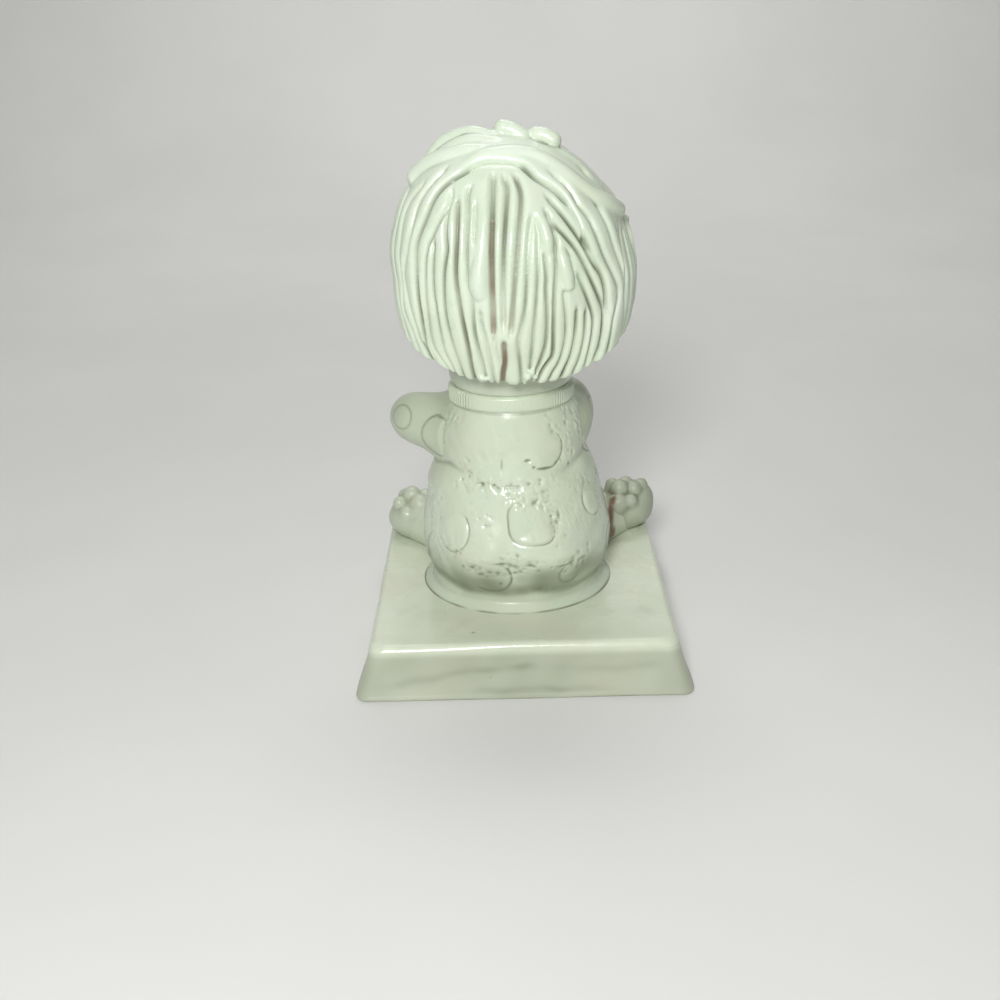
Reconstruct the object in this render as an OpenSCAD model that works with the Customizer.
// Cast resin figurine: a seated child with a mop of hair, on a flared square plinth.
// Millimetres, +Z up. The figure faces -Y, so +X is its left side.
// The origin is the centre of the plinth's underside.

/* [Plinth] */
// Width and depth of the plinth at the table
plinth_w = 80; // [74:1:100]
// Width and depth of the plinth's top face
plinth_top_w = 72; // [64:1:74]
// Height of the plinth
plinth_h = 12.8; // [11:0.2:20]
// Radius of the plinth's upright corners
plinth_corner_r = 3; // [1:0.5:8]
// Radius of the plinth's top and bottom edges
plinth_edge_r = 1.2; // [0.4:0.1:2]
// Depth of the cast hollow in the underside
hollow_h = 2; // [0.5:0.5:3]
// Width of the rim that stands on the table
rim_w = 9; // [5:1:16]

/* [Torso] */
// Height of the torso from the plinth's top to the collar
torso_h = 50; // [48:0.5:58]
// Width across the hips
hip_w = 46.4; // [42:0.2:52]
// Depth through the hips
hip_d = 42.4; // [38:0.2:46]
// Height of the widest part of the hips
hip_z = 18; // [15:0.5:20]
// Width at the waist
waist_w = 36.6; // [33:0.2:40]
// Depth at the waist
waist_d = 33.4; // [31:0.2:36]
// Height of the waist
waist_z = 36; // [33:0.5:38]
// Width of the chest between the arms
chest_w = 35.2; // [33:0.2:38]
// Depth of the chest
chest_d = 32.6; // [31:0.2:36]
// Height of the chest's middle
chest_z = 43; // [41:0.5:45]
// Width where the suit draws in above its hem
seat_w = 44.4; // [40:0.2:46]
// Depth where the suit draws in above its hem
seat_d = 40.4; // [36:0.2:42]
// Width of the hem that sits in the plinth
hem_w = 48; // [46:0.2:54]
// Depth of the hem that sits in the plinth
hem_d = 44; // [42:0.2:50]
// Height of the hem's cove
hem_h = 2.6; // [1.6:0.2:4]
// Depth of the recess that locates the hem
hem_recess = 0.6; // [0.3:0.1:1.2]
// Depth of the groove between the two seat cheeks
cleft_h = 0.9; // [0:0.1:1.6]
// Diameter of the printed-look spots that stand proud of the suit
spot_d = 9.4; // [6:0.2:11]
// Height of the spots above the suit
spot_h = 0.4; // [0.2:0.1:0.8]

/* [Collar] */
// Outer diameter of the ribbed collar
collar_d = 31.6; // [30.8:0.2:36]
// Height of the collar
collar_h = 4.4; // [3:0.2:6]
// Number of ribs round the collar
collar_ribs = 80; // [60:2:100]
// Depth of the grooves between the ribs
rib_h = 0.4; // [0.2:0.1:0.6]

/* [Head] */
// Height of the skull's centre above the torso
head_rise = 33.2; // [32:0.1:34]
// Diameter of the jaw
jaw_d = 34; // [31:0.2:37]
// Drop of the jaw's centre below the skull's centre
jaw_drop = 8.4; // [6:0.2:10]
// Diameter of the neck
neck_d = 27.6; // [25:0.2:28]
// Diameter of an eye
eye_d = 6.4; // [5:0.2:8]
// Distance between the eyes' centres
eye_gap = 16.4; // [14:0.2:19]
// Diameter of the nose
nose_d = 5.2; // [4:0.2:7]
// Width of the mouth
mouth_w = 11; // [8:0.5:13]

/* [Hair] */
// Width across the hair
hair_w = 58; // [57:0.2:62]
// Depth through the hair
hair_d = 56; // [55:0.2:60]
// Thickness of the hair over the skull where it is thinnest
hair_t = 4.6; // [4.2:0.1:5.2]
// Height of the hair's widest level above the torso
hair_rise = 29.2; // [28:0.2:31]
// Height of the hair's dome above its widest level
dome_h = 32.2; // [30:0.2:35]
// Sideways lean of the dome, for each millimetre of height
dome_lean = 0.1; // [0:0.01:0.15]
// Drop of the hair's lower edge below its widest level, at the sides
side_drop = 13.6; // [12:0.2:16]
// Drop of the hair's lower edge below its widest level, at the back
nape_drop = 20.4; // [18:0.2:21.4]
// Number of strands round the head
strands = 48; // [40:2:56]
// Depth of the grooves between strands
groove_h = 1; // [0.4:0.1:1.4]
// How far the strands sweep forwards round the sides, in degrees
sweep_angle = 22; // [0:1:30]
// Width of the back panel of hair
panel_w = 42; // [36:1:46]
// Height of the back panel's arch above the hair's widest level
panel_rise = 25.6; // [22:0.2:27]
// How far the back panel lies below the hair round it
panel_inset = 1.2; // [0.6:0.1:2]
// Radius of the loose locks that lie on the hair
lock_r = 2; // [1.4:0.1:2.4]
// Width of the opening for the face
face_w = 35; // [31:0.5:38]
// Height of the fringe's edge above the eyes
fringe_rise = 6.4; // [5:0.2:9]

/* [Arms] */
// Radius of the shoulder
shoulder_r = 7; // [6.4:0.1:7.6]
// Radius of the sleeve at the cuff
cuff_r = 5.4; // [4.6:0.1:6]
// Distance of the shoulder from the torso's axis
shoulder_x = 12; // [11:0.1:13]
// Height of the shoulders above the plinth's top
shoulder_z = 41; // [39:0.2:42]
// Length of the left upper arm to the outside of its bend
left_upper_arm = 15.4; // [13:0.2:18]
// Length of the left forearm from the outside of its bend
left_forearm = 14; // [12:0.2:18]
// Length of the right upper arm
right_upper_arm = 12.4; // [10:0.2:14]
// Length of the right forearm
right_forearm = 11; // [9:0.2:13]
// Swing of the left arm from sideways towards the front
left_arm_angle = 7; // [0:1:30]
// Swing of the right arm from sideways towards the front
right_arm_angle = 84; // [70:1:90]
// Upward tilt of the arms
arm_lift_angle = 11; // [0:1:16]
// Share of the arm's two lengths that its bend takes up
elbow_share = 0.55; // [0.4:0.05:0.8]
// Radius of the wrist
wrist_r = 3.4; // [2.8:0.1:3.8]
// Radius of a finger
finger_r = 1.3; // [1:0.1:1.5]
// Length of a finger
finger_l = 5.4; // [4:0.2:7]

/* [Legs] */
// Radius of the thigh
thigh_r = 8; // [7:0.1:8.6]
// Radius of the ankle
ankle_r = 6.8; // [6:0.1:7.4]
// Height of the legs' axis above the plinth's top
leg_z = 3.6; // [3:0.2:5]
// Angle of the left leg from straight ahead
left_leg_angle = 45; // [40:1:50]
// Angle of the right leg from straight ahead
right_leg_angle = 42; // [38:1:50]
// Distance of the hip joints from the torso's axis
hip_reach = 15; // [13:0.2:17]
// Distance of the left ankle from the torso's axis
left_ankle = 37.4; // [35:0.2:39]
// Distance of the right ankle from the torso's axis
right_ankle = 40; // [35:0.2:40.6]
// Width of a foot
foot_w = 14.6; // [12:0.2:16]
// Height of a foot with its toes up
foot_h = 13; // [11.6:0.2:15]
// Thickness of a foot from heel to sole
foot_t = 9.6; // [8:0.2:11]
// Radius of the smallest toe
toe_r = 2; // [1.6:0.05:2.2]

/* [Glue joints] */
// Gap left for glue in every joint
glue_gap = 0.15; // [0.05:0.05:0.25]
// Radius of the pegs on the arms, legs and feet
peg_r = 2.4; // [1.8:0.1:2.8]
// Length of the pegs on the arms, legs and feet
peg_l = 4.5; // [3:0.5:6]
// Radius of the head's peg
neck_peg_r = 8; // [6:0.2:9]
// Length of the head's peg
neck_peg_l = 8; // [5:0.5:10]
// Radius of the two pegs under the torso
seat_peg_r = 3.6; // [2.6:0.1:4.4]
// Length of the two pegs under the torso
seat_peg_l = 5.5; // [4:0.5:6]
// Distance between the two pegs under the torso
seat_peg_gap = 20; // [14:1:24]

/* [Hidden] */
$fn = 48;

resin = [0.86, 0.87, 0.79];
resin_hair = [0.90, 0.91, 0.85];
resin_skin = [0.88, 0.88, 0.81];

// Setback of the jaw and of the skull, the hair and the shoulders from the torso's axis
jaw_setback = 4.5;
head_setback = 1;
hair_setback = 0.5;
shoulder_setback = 2.6;
// Drop of the eyes below the skull's centre and of the nose below the eyes
eye_drop = 3;
nose_drop = 5;
// Half height and half width, in degrees, of the groove between the seat cheeks
cleft_z = 11;
cleft_angle = 9;
// Height of the dome below its widest level, if it ran on to a point
hair_low = 42;
// Height of the locks above the strands at the hair's full width
strand_h = 0.4;
// Angles from the dome's top between which its lower edge lies, and one where the strands are full
first_angle = 60;
last_angle = 170;
full_angle = 110;
// Scatter of the strands' lower ends, in degrees
ragged_angle = 1.5;
// Distance from the parting plane to the front of the back panel, and to the back of the face opening
panel_start = 6;
face_start = 6;
// Radius of the face opening's top corners
face_corner_r = 10;
// Compass directions of the two forearms
left_turn_angle = -118;
right_turn_angle = -72;
// Difference between the two shoulders' heights, halved
shoulder_step = 0.4;
// Plane between the front and the crown of the hair
part_y = -3;
// Share of a limb's radius that its coned end narrows to and is long
root_share = 0.6;
// Room for the flat facets of the mating round faces
facet_gap = 0.35;

// Levels that the pieces share
top_z = plinth_h;
neck_z = top_z + torso_h;
head_c = [0, -head_setback, neck_z + head_rise];
jaw_c = head_c + [0, -jaw_setback, -jaw_drop];
hair_c = [0, -hair_setback, neck_z + hair_rise];
// Diameter of the skull, which the hair covers by its thickness on every side
head_d = min(hair_w, hair_d, 2 * (dome_h + hair_rise - head_rise)) - 2 * hair_t;
eye_z = head_c[2] - eye_drop;

function unit(v) = v / norm(v);
function ease(t) = t * t * (3 - 2 * t);
function heading(angle, lift) = [cos(angle) * cos(lift), sin(angle) * cos(lift), sin(lift)];
function mid(points) = [for (k = [0:2]) sum([for (p = points) p[k]]) / len(points)];
function sum(v, i = 0) = i < len(v) ? v[i] + sum(v, i + 1) : 0;
function bezier(a, b, c, t) = (1 - t) * (1 - t) * a + 2 * t * (1 - t) * b + t * t * c;
// A steady scatter between -1 and 1, the same on every run
function scatter(k) = sin(k * 137.5) * cos(k * 61.3);

// Slope of a profile at one station, level at both ends
function slope(s, k, c) = k == 0 || k == len(s) - 1 ? 0
    : (s[k + 1][c] - s[k - 1][c]) / (s[k + 1][0] - s[k - 1][0]);
// Value c of a profile [[z, value, ...], ...] at height z, on a smooth curve through its stations
function along(s, z, c) = let (
    below = [for (k = [0:len(s) - 2]) if (z >= s[k][0]) k],
    k = len(below) == 0 ? 0 : below[len(below) - 1],
    w = s[k + 1][0] - s[k][0],
    t = min(1, max(0, (z - s[k][0]) / w)))
    (2 * t * t * t - 3 * t * t + 1) * s[k][c] + (t * t * t - 2 * t * t + t) * w * slope(s, k, c)
    + (3 * t * t - 2 * t * t * t) * s[k + 1][c] + (t * t * t - t * t) * w * slope(s, k + 1, c);

// Closed skin over rings that have the same number of points and turn the same way
module skin(rings) {
    n = len(rings[0]);
    m = len(rings);
    points = concat([for (r = rings) each r], [mid(rings[0]), mid(rings[m - 1])]);
    sides = [for (j = [0:m - 2]) for (i = [0:n - 1]) let (i1 = (i + 1) % n)
        each [[j * n + i, (j + 1) * n + i, (j + 1) * n + i1], [j * n + i, (j + 1) * n + i1, j * n + i1]]];
    caps = [for (i = [0:n - 1]) let (i1 = (i + 1) % n)
        each [[m * n, i, i1], [m * n + 1, (m - 1) * n + i1, (m - 1) * n + i]]];
    polyhedron(points, concat(sides, caps));
}

// Ring of n points round p, square to direction d, with "up" towards ref
function ring(p, d, ref, r, n) = let (side = unit(cross(ref, d)), up = cross(d, side))
    [for (i = [0:n - 1]) p + r * (cos(360 * i / n) * side + sin(360 * i / n) * up)];
function direction(path, k) = unit(path[min(k + 1, len(path) - 1)] - path[max(k - 1, 0)]);

// Turns +Z to direction d and moves it to p
module aim(p, d) {
    translate(p) rotate([0, acos(d[2]), atan2(d[1], d[0])]) children();
}

// Peg or its hole, from p along d
module peg(p, d, r, l) {
    aim(p, d) cylinder(r = r, h = l);
}

// Coned end of a limb of radius r behind its joint, as rings for a skin
function root_rings(p, d, r, n) = [ring(p - root_share * r * d, d, [0, 0, 1], root_share * r, n)];
// Hole for that end and for the limb beyond it, with its peg's hole
module root_socket(p, d, r, reach) {
    aim(p, d) cylinder(r = r + glue_gap, h = reach);
    aim(p, -d) cylinder(r1 = r + glue_gap, r2 = root_share * r + glue_gap, h = root_share * r + glue_gap);
    peg(p, -d, peg_r + glue_gap, root_share * r + peg_l + glue_gap);
}

// Plinth
function square_ring(w, r, z) = [for (c = [0:3]) for (a = [0:15:90])
    let (x = (c == 0 || c == 3 ? 1 : -1) * (w / 2 - r), y = (c < 2 ? 1 : -1) * (w / 2 - r))
    [x + r * cos(a + 90 * c), y + r * sin(a + 90 * c), z]];
function plinth_width(z) = plinth_w + (plinth_top_w - plinth_w) * z / plinth_h;

module oval(w, d) {
    polygon([for (a = [0:7.5:352.5]) [w / 2 * cos(a), d / 2 * sin(a)]]);
}

module plinth() color(resin) difference() {
    e = plinth_edge_r;
    skin(concat(
        [for (a = [0, 45, 90]) let (z = e / 2 * (1 - sin(a)))
            square_ring(plinth_width(z) - e * (1 - cos(90 - a)), plinth_corner_r, e / 2 * (1 - cos(a)))],
        [for (a = [0:30:90])
            square_ring(plinth_top_w - 2 * e * (1 - cos(a)), plinth_corner_r, plinth_h - e + e * sin(a))]));
    translate([0, 0, -1]) linear_extrude(hollow_h + 1)
        offset(r = plinth_corner_r) square(plinth_w - 2 * rim_w - 2 * plinth_corner_r, center = true);
    translate([0, 0, top_z - hem_recess - glue_gap]) linear_extrude(hem_recess + plinth_h)
        oval(hem_w + 2 * glue_gap, hem_d + 2 * glue_gap);
    for (s = [-1, 1]) peg([s * seat_peg_gap / 2, 0, top_z - hem_recess], [0, 0, -1],
        seat_peg_r + glue_gap, seat_peg_l + glue_gap);
}

// Torso
torso_profile = [
    [-hem_recess, hem_w / 2, hem_d / 2], [0.2 * hem_h, hem_w / 2 - 0.2, hem_d / 2 - 0.2],
    [hem_h, seat_w / 2, seat_d / 2], [hip_z, hip_w / 2, hip_d / 2], [waist_z, waist_w / 2, waist_d / 2],
    [chest_z, chest_w / 2, chest_d / 2], [torso_h, collar_d / 2 - 0.4, collar_d / 2 - 0.4]];
// How much of the groove between the seat cheeks shows at height z
function cleft_at(z) = max(0, 1 - pow((z - hip_z + hem_h) / cleft_z, 2));
// Point of the suit's surface at azimuth a and height z above the plinth, moved out by h
function suit(a, z, h = 0) = let (
    w = along(torso_profile, z, 1) + h, d = along(torso_profile, z, 2) + h,
    groove = cleft_h * cleft_at(z) * exp(-pow((a - 90) / cleft_angle, 2)))
    [w * cos(a), (d - groove) * sin(a), top_z + z];
torso_levels = concat([-hem_recess, 0.2 * hem_h, 0.55 * hem_h],
    [for (k = [0:12]) hem_h + (torso_h - hem_h) * k / 12]);

// Spot that follows the suit's surface, centred at azimuth a and height z
module spot(a, z, size) {
    r = size * spot_d / 2;
    reach = norm([suit(a, z)[0], suit(a, z)[1]]);
    turn = function (t, k) a + k * r * cos(t) / reach * 180 / PI;
    rise = function (t, k) z + k * r * sin(t);
    skin([for (layer = [[-1, 0.9], [0.7 * spot_h, 1], [spot_h, 0.85]])
        [for (t = [0:36:324]) suit(turn(t, layer[1]), rise(t, layer[1]), layer[0])]]);
}
// Azimuth, height and relative size of each spot: the back as it shows, the front in the same spread
back_spots = [[108, 39, 0.9], [148, 25.5, 0.95], [40, 19.5, 1], [97, 22, 1], [72, 9, 1], [119, 9, 0.65],
              [62, 33, 0.9], [12, 12, 0.9], [168, 10, 0.9]];
front_spots = [[250, 24, 1], [290, 22, 1], [270, 10, 0.8], [270, 37, 0.9], [200, 24, 0.9], [335, 26, 0.9]];

function shoulder(s) = [s * shoulder_x, -shoulder_setback, top_z + shoulder_z - s * shoulder_step];
function splay(s) = s > 0 ? left_leg_angle : right_leg_angle;
function leg_heading(s) = [s * sin(splay(s)), -cos(splay(s)), 0];
function hip_joint(s) = hip_reach * leg_heading(s) + [0, 0, top_z + leg_z];
function ankle(s) = (s > 0 ? left_ankle : right_ankle) * leg_heading(s) + [0, 0, top_z + leg_z];
function arm_heading(s) = s > 0 ? heading(-left_arm_angle, arm_lift_angle)
    : heading(180 + right_arm_angle, arm_lift_angle / 2);

module torso() color(resin) difference() {
    union() {
        skin([for (z = torso_levels) [for (a = [0:10:350]) suit(a, z)]]);
        for (p = concat(back_spots, front_spots)) spot(p[0], p[1], p[2]);
        for (s = [-1, 1]) peg([s * seat_peg_gap / 2, 0, top_z - hem_recess + 1], [0, 0, -1],
            seat_peg_r, seat_peg_l + 1);
    }
    for (s = [-1, 1]) {
        root_socket(shoulder(s), arm_heading(s), shoulder_r, left_upper_arm);
        root_socket(hip_joint(s), leg_heading(s), thigh_r, left_ankle);
    }
    peg([0, 0, neck_z + 1], [0, 0, -1], neck_peg_r + glue_gap, neck_peg_l + glue_gap + 1);
}

// Collar
module collar() color(resin) translate([0, 0, neck_z]) intersection() {
    linear_extrude(collar_h) difference() {
        polygon([for (k = [0:2 * collar_ribs - 1])
            let (a = 180 / collar_ribs * k, r = collar_d / 2 - rib_h * (k % 2)) [r * cos(a), r * sin(a)]]);
        circle(neck_d / 2 + glue_gap);
    }
    rotate_extrude() {
        e = collar_h / 4;
        r = collar_d / 2;
        polygon([[0, 0], [r - e / 2, 0], [r + 0.1, e], [r + 0.1, collar_h - e],
                 [r - e / 2, collar_h], [0, collar_h]]);
    }
}

// Head
// Centre of a cheek on side s
function cheek_c(s) = jaw_c + [s * 0.53 * jaw_d / 2, -0.42 * jaw_d / 2, -0.18 * jaw_d / 2];
cheek_r = 0.52 * jaw_d / 2;
mouth_c = jaw_c + [0, -0.84 * jaw_d / 2, -0.18 * jaw_d / 2];

module head() color(resin_skin) difference() {
    union() {
        translate(head_c) sphere(d = head_d);
        translate(jaw_c) sphere(d = jaw_d);
        translate([0, 0, neck_z]) cylinder(d = neck_d, h = head_rise);
        peg([0, 0, neck_z + 1], [0, 0, -1], neck_peg_r, neck_peg_l + 1);
        for (s = [-1, 1]) {
            translate([s * eye_gap / 2, head_c[1] - 0.86 * head_d / 2, eye_z]) sphere(d = eye_d);
            translate(cheek_c(s)) sphere(cheek_r);
        }
        translate([0, head_c[1] - head_d / 2 + 1, eye_z - nose_drop]) sphere(d = nose_d);
    }
    translate(mouth_c) rotate([90, 0, 0]) rotate_extrude(angle = 100, start = 220)
        translate([0.6 * mouth_w, 0]) circle(0.8);
}

// Hair
// Point of the dome at azimuth a and angle f from its top, moved out by h
function dome(a, f, h = 0) = let (
    x = (hair_w / 2 - strand_h + h) * sin(f) * cos(a), y = (hair_d / 2 - strand_h + h) * sin(f) * sin(a),
    z = ((f < 90 ? dome_h : hair_low) - strand_h + h) * cos(f))
    hair_c + [x + dome_lean * max(0, z), y, z];
// Height of the hair's lower edge at azimuth a
function edge_drop(a) = side_drop + (nape_drop - side_drop) * pow(max(0, sin(a)), 2);
// Angle from the top at which the dome comes down to the hair's lower edge
function edge_angle(a, lo = first_angle, hi = last_angle, k = 0) = let (m = (lo + hi) / 2)
    k == 12 ? m
    : dome(a, m)[2] < hair_c[2] - edge_drop(a) ? edge_angle(a, lo, m, k + 1) : edge_angle(a, m, hi, k + 1);

// Azimuth at angle f from the top of the strand that leaves the top at azimuth a
function swept(a, f, turn) = a - turn * cos(a) * f / 90;

// Fluted dome: one flute for each strand, from the top to the lower edge
module fluted_dome(h, rows, turn) {
    step = 360 / strands;
    skin([for (j = [rows:-1:0]) [for (k = [0:strands - 1]) for (side = [0, 1, 2])
        let (a0 = step * (k + [0, 0.28, 0.72][side]), t = 0.05 + 0.95 * j / rows,
            f = t * (edge_angle(swept(a0, full_angle, turn)) + (j == rows ? ragged_angle * scatter(k) : 0)),
            groove = side == 0 ? groove_h * ease(min(1, 2.5 * t)) : 0)
        dome(swept(a0, f, turn), f, h - groove)]]);
}

// Loose lock on the hair along p = [azimuth, angle from the dome's top] to [azimuth, angle], with a round tip
module lock(p, r, lift, parts) {
    sink = function (t) 0.8 * r * (1 - ease(min(1, 2 * t)));
    at = function (t, h) dome(p[0] + (p[2] - p[0]) * ease(t), p[1] + (p[3] - p[1]) * t, lift - sink(t) + h);
    for (k = [0:parts - 1]) hull() for (t = [k / parts, (k + 1) / parts]) {
        translate(at(t, 0)) sphere(r * (0.8 + 0.2 * ease(t)), $fn = 6);
        // The lock's foot fills the grooves under it
        translate(at(t, -groove_h)) sphere(r * (0.8 + 0.2 * ease(t)), $fn = 6);
    }
}

// Short tuft that lies across the crown
module crown_tuft(p) {
    hull() {
        translate(p) sphere(1.1 * lock_r, $fn = 10);
        translate(p + [-2.1 * lock_r, 1, -0.5 * lock_r]) sphere(1.1 * lock_r, $fn = 10);
    }
}

// Arch that bounds the back panel, as a prism from the hair's middle to beyond its back
module panel_arch(grow) {
    translate([0, part_y + panel_start, hair_c[2]]) rotate([90, 0, 180]) linear_extrude(hair_d) {
        polygon([for (a = [0:10:180]) [(panel_w / 2 + grow) * cos(a), (panel_rise + grow) * sin(a)]]);
        translate([-panel_w / 2 - grow, -hair_low]) square([panel_w + 2 * grow, hair_low + 0.01]);
    }
}

// What the hair has to clear: the head and the neck
module head_room() {
    translate(head_c) sphere(d = head_d + 2 * facet_gap, $fn = 30);
    translate(jaw_c) sphere(d = jaw_d + 2 * facet_gap, $fn = 24);
    translate([0, 0, neck_z - 1]) cylinder(d = neck_d + 2 * facet_gap, h = head_rise, $fn = 36);
    for (s = [-1, 1]) translate(cheek_c(s)) sphere(cheek_r + facet_gap, $fn = 24);
}

// Half of space in front of the parting plane (s = -1) or behind it (s = 1)
module half(s, gap) {
    translate([-hair_w, s > 0 ? part_y + gap : part_y - gap - 2 * hair_d, neck_z - hair_low])
        cube([2 * hair_w, 2 * hair_d, 3 * hair_low + head_rise]);
}

module face_opening() {
    top = eye_z + fringe_rise;
    translate([0, part_y - face_start, 0]) rotate([90, 0, 0]) linear_extrude(hair_d) hull() {
        for (s = [-1, 1]) translate([s * (face_w / 2 - face_corner_r), top - face_corner_r])
            circle(face_corner_r, $fn = 24);
        translate([-face_w / 2, neck_z]) square([face_w, 1]);
    }
}

// Azimuth and angle from the dome's top where each lock of the crown starts and ends
crown_locks = [[66, 18, 8, 47], [72, 20, 36, 70], [122, 16, 172, 62], [110, 18, 146, 76],
               [106, 20, 140, 104]];
// The same for the drop-shaped locks on the back panel and for the fringe
panel_locks = [[73, 74, 73, 92], [117, 72, 118, 88], [96, 86, 96, 98]];
fringe_locks = [for (k = [0:6]) [258 + 4 * k, 20, 231 + 13 * k, 76 + 3 * scatter(3 * k + 1)]];

// Room for the back panel in the locks that lie over it
module panel_room() {
    intersection() {
        fluted_dome(glue_gap - panel_inset, 9, 0);
        panel_arch(glue_gap);
    }
}

module hair_front() color(resin_hair) difference() {
    union() {
        difference() {
            intersection() {
                fluted_dome(0, 7, sweep_angle);
                half(-1, glue_gap);
            }
            face_opening();
        }
        for (p = fringe_locks) lock(p, lock_r, -0.5, 4);
    }
    head_room();
    half(1, -glue_gap);
}

module hair_crown() color(resin_hair) difference() {
    union() {
        difference() {
            intersection() {
                fluted_dome(0, 7, sweep_angle);
                half(1, glue_gap);
            }
            panel_arch(glue_gap);
        }
        for (p = crown_locks) lock(p, lock_r, strand_h, 5);
        for (k = [0, 1])
            crown_tuft([(1 - 3.5 * k) * lock_r, 0.5 * lock_r, hair_c[2] + dome_h - strand_h - k * lock_r]);
    }
    head_room();
    half(-1, -glue_gap);
    panel_room();
}

module hair_back() color(resin_hair) difference() {
    union() {
        intersection() {
            fluted_dome(-panel_inset, 9, 0);
            panel_arch(0);
        }
        for (p = panel_locks) lock(p, 1.1 * lock_r, -1, 3);
    }
    head_room();
}

// Arms
function arm_path(s) = let (
    upper = s > 0 ? left_upper_arm : right_upper_arm, fore = s > 0 ? left_forearm : right_forearm,
    turned = s > 0 ? heading(left_turn_angle, -2 * arm_lift_angle)
        : heading(right_turn_angle, -arm_lift_angle),
    a = shoulder(s), b = a + upper * arm_heading(s), c = b + fore * turned)
    concat([a], [for (k = [0:8])
        bezier(b + (a - b) * elbow_share, b, b + (c - b) * elbow_share, k / 8)], [c]);
// Radius of the sleeve, with a round end in the shoulder's socket
function sleeve_r(t) = shoulder_r + (cuff_r - shoulder_r) * ease(t);

module sleeve(s) color(resin) {
    path = arm_path(s);
    last = len(path) - 1;
    d0 = direction(path, 0);
    difference() {
        union() {
            skin(concat(root_rings(path[0], d0, shoulder_r, 18), [for (k = [0:last])
                ring(path[k], direction(path, k), [0, 0, 1], sleeve_r(k / last), 18)]));
            peg(path[0], -d0, peg_r, root_share * shoulder_r + peg_l);
        }
        peg(path[last] + direction(path, last), -direction(path, last), wrist_r + glue_gap, peg_l + 1);
    }
}

// Finger of two bones that bend towards +X, from the origin along +Z
module finger(r, l) {
    joint = [0, 0, 0.55 * l];
    tip = joint + [0.2 * l, 0, 0.4 * l];
    hull() {
        sphere(r);
        translate(joint) sphere(r);
    }
    hull() {
        translate(joint) sphere(r);
        translate(tip) sphere(0.9 * r);
    }
}

module hand(s) color(resin_skin) {
    path = arm_path(s);
    last = len(path) - 1;
    palm = 1.25 * wrist_r;
    aim(path[last], direction(path, last)) rotate(s * 90) {
        translate([0, 0, glue_gap - peg_l]) cylinder(r = wrist_r, h = peg_l + wrist_r, $fn = 24);
        hull() {
            translate([0, 0, 0.8 * palm]) sphere(wrist_r, $fn = 16);
            for (y = [-1, 1]) translate([0, 0.45 * palm * y, 1.3 * palm]) sphere(0.7 * palm, $fn = 12);
        }
        for (k = [0:3]) translate([0, (k - 1.5) * 1.6 * finger_r, 1.5 * palm]) rotate([-8 * (k - 1.5), 0, 0])
            finger(finger_r, finger_l, $fn = 6);
        translate([0.3 * palm, s * palm, 0.7 * palm]) rotate([-45 * s, 0, 0])
            finger(1.1 * finger_r, 0.8 * finger_l, $fn = 6);
    }
}

// Legs
module leg(s) color(resin) {
    a = hip_joint(s);
    b = ankle(s);
    d = leg_heading(s);
    difference() {
        union() {
            skin(concat(root_rings(a, d, thigh_r, 20), [for (k = [0:5])
                ring(a + (b - a) * k / 5, d, [0, 0, 1], thigh_r + (ankle_r - thigh_r) * ease(k / 5), 20)]));
            peg(a, -d, peg_r, root_share * thigh_r + peg_l);
        }
        peg(b + d, -d, peg_r + glue_gap, peg_l + glue_gap + 1);
        translate([-plinth_w, -plinth_w, top_z - plinth_h]) cube([2 * plinth_w, 2 * plinth_w, plinth_h]);
    }
}

// Foot with its sole outwards, built at the ankle with -Y outwards
module foot(s) color(resin_skin) {
    heel = 0.4 * foot_w;
    ball = 0.33 * foot_w;
    ball_z = foot_h - 2.2 * toe_r - ball;
    translate([ankle(s)[0], ankle(s)[1], top_z]) rotate(s * splay(s)) difference() {
        union() {
            peg([0, -1, leg_z], [0, 1, 0], peg_r, peg_l + 1);
            difference() {
                union() {
                    hull() {
                        translate([0, heel - foot_t, leg_z - 0.4]) sphere(heel, $fn = 20);
                        for (x = [-1, 1])
                            translate([x * (foot_w / 2 - ball), ball - 0.8 * foot_t, ball_z])
                                sphere(ball, $fn = 20);
                        translate([0, -0.1, leg_z]) rotate([90, 0, 0])
                            cylinder(r = ankle_r, h = 0.1, $fn = 20);
                    }
                    for (k = [0:4]) {
                        tip = toe_r * (1 + 0.08 * k);
                        x = s * (foot_w / 2 - tip - 0.3) * (1 - 0.5 * k);
                        translate([x, -0.36 * foot_t, foot_h - tip - 0.3 * abs(k - 3)]) sphere(tip);
                        translate([x, -0.16 * foot_t, foot_h - 2.6 * tip]) sphere(0.9 * tip);
                    }
                }
                translate([-foot_w, 0, -foot_h]) cube([2 * foot_w, foot_w, 4 * foot_h]);
            }
        }
        translate([-foot_w, -2 * foot_w, -2 * foot_h]) cube([2 * foot_w, 4 * foot_w, 2 * foot_h]);
    }
}

plinth();
torso();
collar();
head();
hair_front();
hair_crown();
hair_back();
sleeve(1);  // left_sleeve
sleeve(-1);  // right_sleeve
hand(1);  // left_hand
hand(-1);  // right_hand
leg(1);  // left_leg
leg(-1);  // right_leg
foot(1);  // left_foot
foot(-1);  // right_foot
